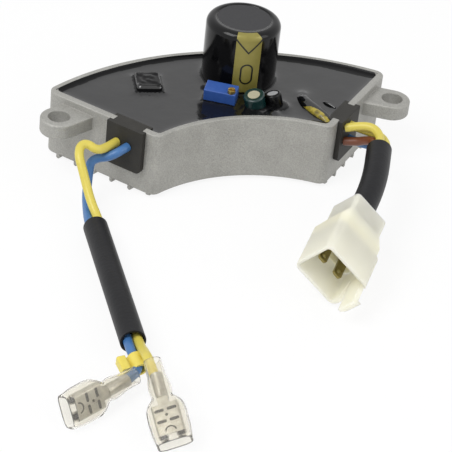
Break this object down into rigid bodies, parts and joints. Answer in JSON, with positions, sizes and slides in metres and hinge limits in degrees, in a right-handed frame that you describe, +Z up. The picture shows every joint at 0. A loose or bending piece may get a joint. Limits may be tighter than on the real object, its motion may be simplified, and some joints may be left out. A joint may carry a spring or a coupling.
{
  "type": "voltage regulator",
  "caption": "Half-moon generator voltage regulator potted in an aluminium tray with fixing ears, a spade terminal lead and a plug lead.",
  "frame": {"origin": "bottom centre of the regulator without its leads, where its ribs stand", "axes": "+X from ear to ear, towards the four-wire lead; +Y from the concave bearing side to the outer arc; +Z up out of the open tray"},
  "size_m": [0.1281, 0.1565, 0.0405],
  "materials": {
    "beige_ceramic": "lacquered",
    "black_film": "glossy shrink film",
    "black_moulding": "satin moulding",
    "black_pvc": "matte sleeving",
    "black_resin": "glossy cast resin",
    "black_rubber": "matte",
    "blue_plastic": "satin moulding",
    "blue_pvc": "satin cable insulation",
    "brass": "plain",
    "bright_aluminium": "drawn, bright",
    "brown_pvc": "satin cable insulation",
    "cast_aluminium": "die cast, satin",
    "clear_pvc": "soft and clear, slightly yellowed",
    "grey_board": "matte",
    "ivory_nylon": "satin moulding, slightly translucent",
    "laminate": "glass-fibre laminate",
    "marker_plastic": "satin moulding",
    "paper_winding": "wound foil and paper",
    "teal_film": "glossy shrink film",
    "tinned_metal": "tinned",
    "yellow_pvc": "satin cable insulation"
  },
  "bodies": {
    "regulator": {"axial_leads": "tinned_metal", "black_capacitor_can": "bright_aluminium", "black_capacitor_sleeve": "black_film", "blue_insulator": "clear_pvc", "blue_receptacle": "tinned_metal", "cable_marker": "marker_plastic", "circuit_board": "laminate", "diodes": "black_moulding", "green_capacitor_can": "bright_aluminium", "green_capacitor_sleeve": "teal_film", "housing": "cast_aluminium", "insulating_pad": "grey_board", "left_blue_wire": "blue_pvc", "left_grommet": "black_rubber", "left_sleeve": "black_pvc", "left_yellow_wire": "yellow_pvc", "link_wire": "yellow_pvc", "main_capacitor_bung": "black_rubber", "main_capacitor_can": "bright_aluminium", "main_capacitor_disc": "grey_board", "main_capacitor_pins": "tinned_metal", "main_capacitor_sleeve": "black_film", "main_capacitor_winding": "paper_winding", "plug_housing": "ivory_nylon", "plug_tab_blue": "brass", "plug_tab_brown": "brass", "plug_tab_front_yellow": "brass", "plug_tab_rear_yellow": "brass", "potting_resin": "black_resin", "power_transistor": "black_moulding", "rectifier_block": "black_moulding", "rectifier_legs": "tinned_metal", "resistors": "beige_ceramic", "right_blue_wire": "blue_pvc", "right_brown_wire": "brown_pvc", "right_front_yellow_wire": "yellow_pvc", "right_grommet": "black_rubber", "right_rear_yellow_wire": "yellow_pvc", "right_sleeve": "black_pvc", "small_capacitor_bungs": "black_rubber", "small_capacitor_leads": "tinned_metal", "transistor_leads": "tinned_metal", "trimmer_body": "blue_plastic", "trimmer_pins": "tinned_metal", "wire_tails": "yellow_pvc", "yellow_insulator": "clear_pvc", "yellow_receptacle": "tinned_metal"},
    "adjuster": {"trimmer_screw": "brass"}
  },
  "joints": [
    {"name": "voltage_adjust", "type": "hinge", "parent": "regulator", "child": "adjuster", "pos_m": [-0.0003, -0.00736, 0.02479], "axis": [-0.0821, -0.153, 0.9848], "continuous": true}
  ]
}
